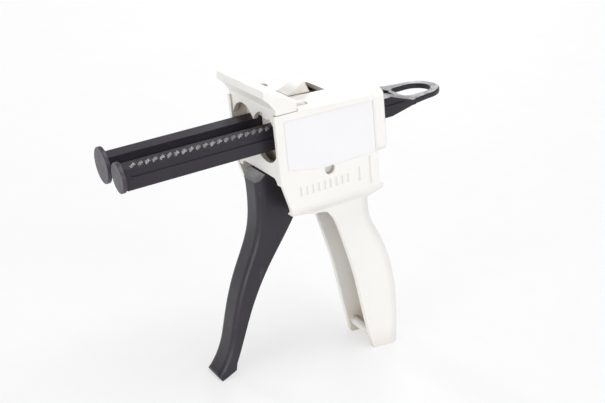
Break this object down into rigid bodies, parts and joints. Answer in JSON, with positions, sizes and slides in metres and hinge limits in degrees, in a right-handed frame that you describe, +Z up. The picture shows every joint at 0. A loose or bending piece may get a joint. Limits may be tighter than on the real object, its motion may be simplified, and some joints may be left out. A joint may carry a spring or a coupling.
{
  "type": "dental dispensing gun",
  "caption": "Hand-operated twin-cartridge dispensing gun: white body and handle, black squeeze trigger, toothed double plunger with a pull ring and a lift-up cartridge retainer.",
  "frame": {"origin": "centre of the footprint, on the surface the gun stands on", "axes": "+X forwards, the way the rods push; +Y towards the label side; +Z up. The gun's own axis is tipped 7.25 degrees nose down, as it stands on its trigger tip and handle foot"},
  "size_m": [0.1986, 0.0534, 0.1665],
  "materials": {
    "white_plastic": "satin moulded plastic",
    "black_plastic": "satin moulded plastic",
    "steel": "turned",
    "spring_steel": "drawn wire",
    "screw_steel": "bright zinc",
    "label": "smooth vinyl, blank"
  },
  "bodies": {
    "housing": {"housing_near": "white_plastic", "housing_far": "white_plastic", "rear_cover": "white_plastic", "cartridge_seat": "white_plastic", "label_plate": "label", "retainer_pin_near": "steel", "retainer_pin_far": "steel", "retainer_spring": "spring_steel", "holding_pawl_pin": "steel", "holding_pawl_spring": "spring_steel", "trigger_pin": "steel", "trigger_washer_near": "steel", "trigger_washer_far": "steel", "trigger_return_spring": "spring_steel", "housing_screw_1": "screw_steel", "housing_screw_2": "screw_steel", "housing_screw_3": "screw_steel", "housing_screw_4": "screw_steel", "housing_screw_5": "screw_steel", "cover_screw_near": "screw_steel", "cover_screw_far": "screw_steel"},
    "plunger": {"plunger": "black_plastic", "piston_disc_large": "black_plastic", "piston_disc_small": "black_plastic"},
    "trigger": {"trigger": "black_plastic", "drive_pawl_pin": "steel", "drive_pawl_spring": "spring_steel"},
    "drive_pawl": {"drive_pawl": "steel"},
    "release": {"release_lever": "white_plastic", "holding_pawl": "steel"},
    "retainer": {"retainer_lever": "white_plastic"}
  },
  "joints": [
    {"name": "plunger_slide", "type": "slide", "parent": "housing", "child": "plunger", "axis": [0.992, 0, -0.1262], "range_m": [-0.08, 0]},
    {"name": "trigger_hinge", "type": "hinge", "parent": "housing", "child": "trigger", "pos_m": [-0.0138, 0, 0.12109], "axis": [0, 1, 0], "range_deg": [0, 30], "stiffness_Nm_per_rad": 0.2, "springref_deg": -17.19},
    {"name": "drive_pawl_hinge", "type": "hinge", "parent": "trigger", "child": "drive_pawl", "pos_m": [-0.01434, 0, 0.12953], "axis": [0, 1, 0], "range_deg": [-30, 0]},
    {"name": "release_hinge", "type": "hinge", "parent": "housing", "child": "release", "pos_m": [-0.02535, 0, 0.15391], "axis": [0, -1, 0], "range_deg": [0, 8], "stiffness_Nm_per_rad": 0.02, "springref_deg": -17.19},
    {"name": "retainer_hinge", "type": "hinge", "parent": "housing", "child": "retainer", "pos_m": [0.00249, 0, 0.15561], "axis": [0, -1, 0], "range_deg": [0, 60]}
  ],
  "couplings": [
    {"joint": "drive_pawl_hinge", "follows": "trigger_hinge", "ratio": -1}
  ]
}
